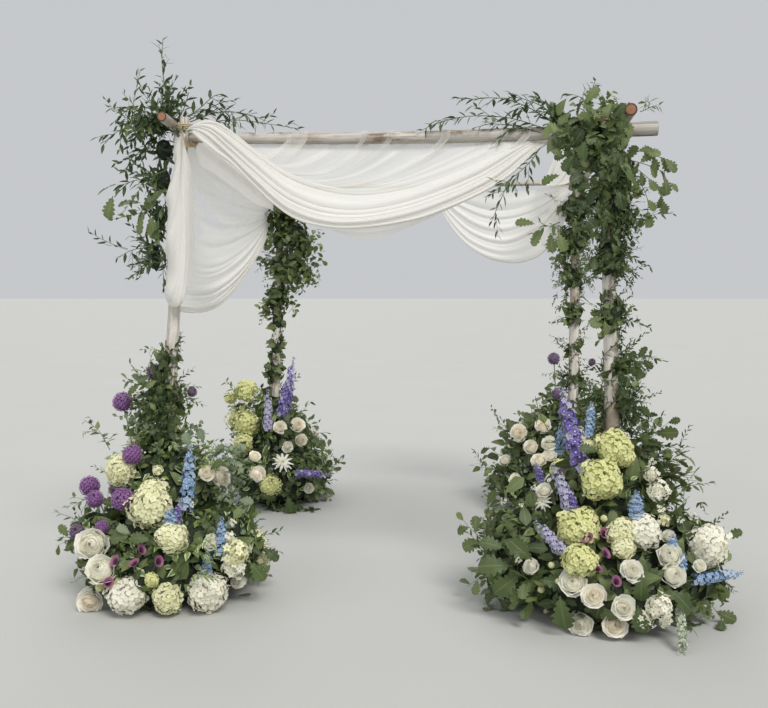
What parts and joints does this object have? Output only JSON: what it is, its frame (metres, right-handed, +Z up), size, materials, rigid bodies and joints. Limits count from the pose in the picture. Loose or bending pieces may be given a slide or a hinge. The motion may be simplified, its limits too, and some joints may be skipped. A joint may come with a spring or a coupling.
{
  "type": "floral ceremony arch",
  "caption": "Free-standing open square canopy of peeled birch poles, hung with sheer white cloth swags, with greenery on its corners and posts and a flower bed at the foot of each post.",
  "frame": {"origin": "on the ground, midway between the four posts", "axes": "+Z up, +X to the right seen from the front, +Y from the front beam to the back beam"},
  "size_m": [3.667, 3.6997, 3.1701],
  "materials": {
    "birch": "peeled, weathered and matt",
    "rail_wood": "weathered grey beige, matt",
    "rope": "twisted hemp",
    "sheer_cloth": "sheer ivory voile",
    "dark_foliage": "living leaves, half gloss",
    "oak_foliage": "living leaves, matt",
    "cream_petals": "petals",
    "lime_petals": "petals",
    "purple_petals": "petals",
    "blue_petals": "petals",
    "violet_petals": "petals"
  },
  "bodies": {
    "root": {"back_beam": "rail_wood", "back_left_bed": "dark_foliage", "back_left_delphinium": "violet_petals", "back_left_hydrangea": "lime_petals", "back_left_lashing": "rope", "back_left_post": "birch", "back_left_post_garland": "oak_foliage", "back_left_swag": "sheer_cloth", "back_right_allium_1": "purple_petals", "back_right_bed": "dark_foliage", "back_right_lashing": "rope", "back_right_post": "birch", "back_right_post_garland": "oak_foliage", "back_swag": "sheer_cloth", "front_beam": "rail_wood", "front_left_allium_1": "purple_petals", "front_left_allium_2": "purple_petals", "front_left_allium_3": "purple_petals", "front_left_bed": "dark_foliage", "front_left_corner_greenery": "dark_foliage", "front_left_delphinium": "violet_petals", "front_left_hydrangea_1": "cream_petals", "front_left_hydrangea_2": "cream_petals", "front_left_hydrangea_3": "cream_petals", "front_left_hydrangea_4": "cream_petals", "front_left_lashing": "rope", "front_left_post": "birch", "front_left_post_garland": "oak_foliage", "front_right_bed": "dark_foliage", "front_right_corner_greenery": "dark_foliage", "front_right_delphinium_1": "violet_petals", "front_right_delphinium_2": "blue_petals", "front_right_hydrangea_1": "lime_petals", "front_right_hydrangea_2": "lime_petals", "front_right_hydrangea_3": "lime_petals", "front_right_hydrangea_4": "lime_petals", "front_right_hydrangea_5": "lime_petals", "front_right_lashing": "rope", "front_right_post": "birch", "front_right_post_garland": "oak_foliage", "front_swag": "sheer_cloth", "left_beam": "rail_wood", "left_swag": "sheer_cloth", "right_beam": "rail_wood", "right_drape": "sheer_cloth"}
  },
  "joints": []
}
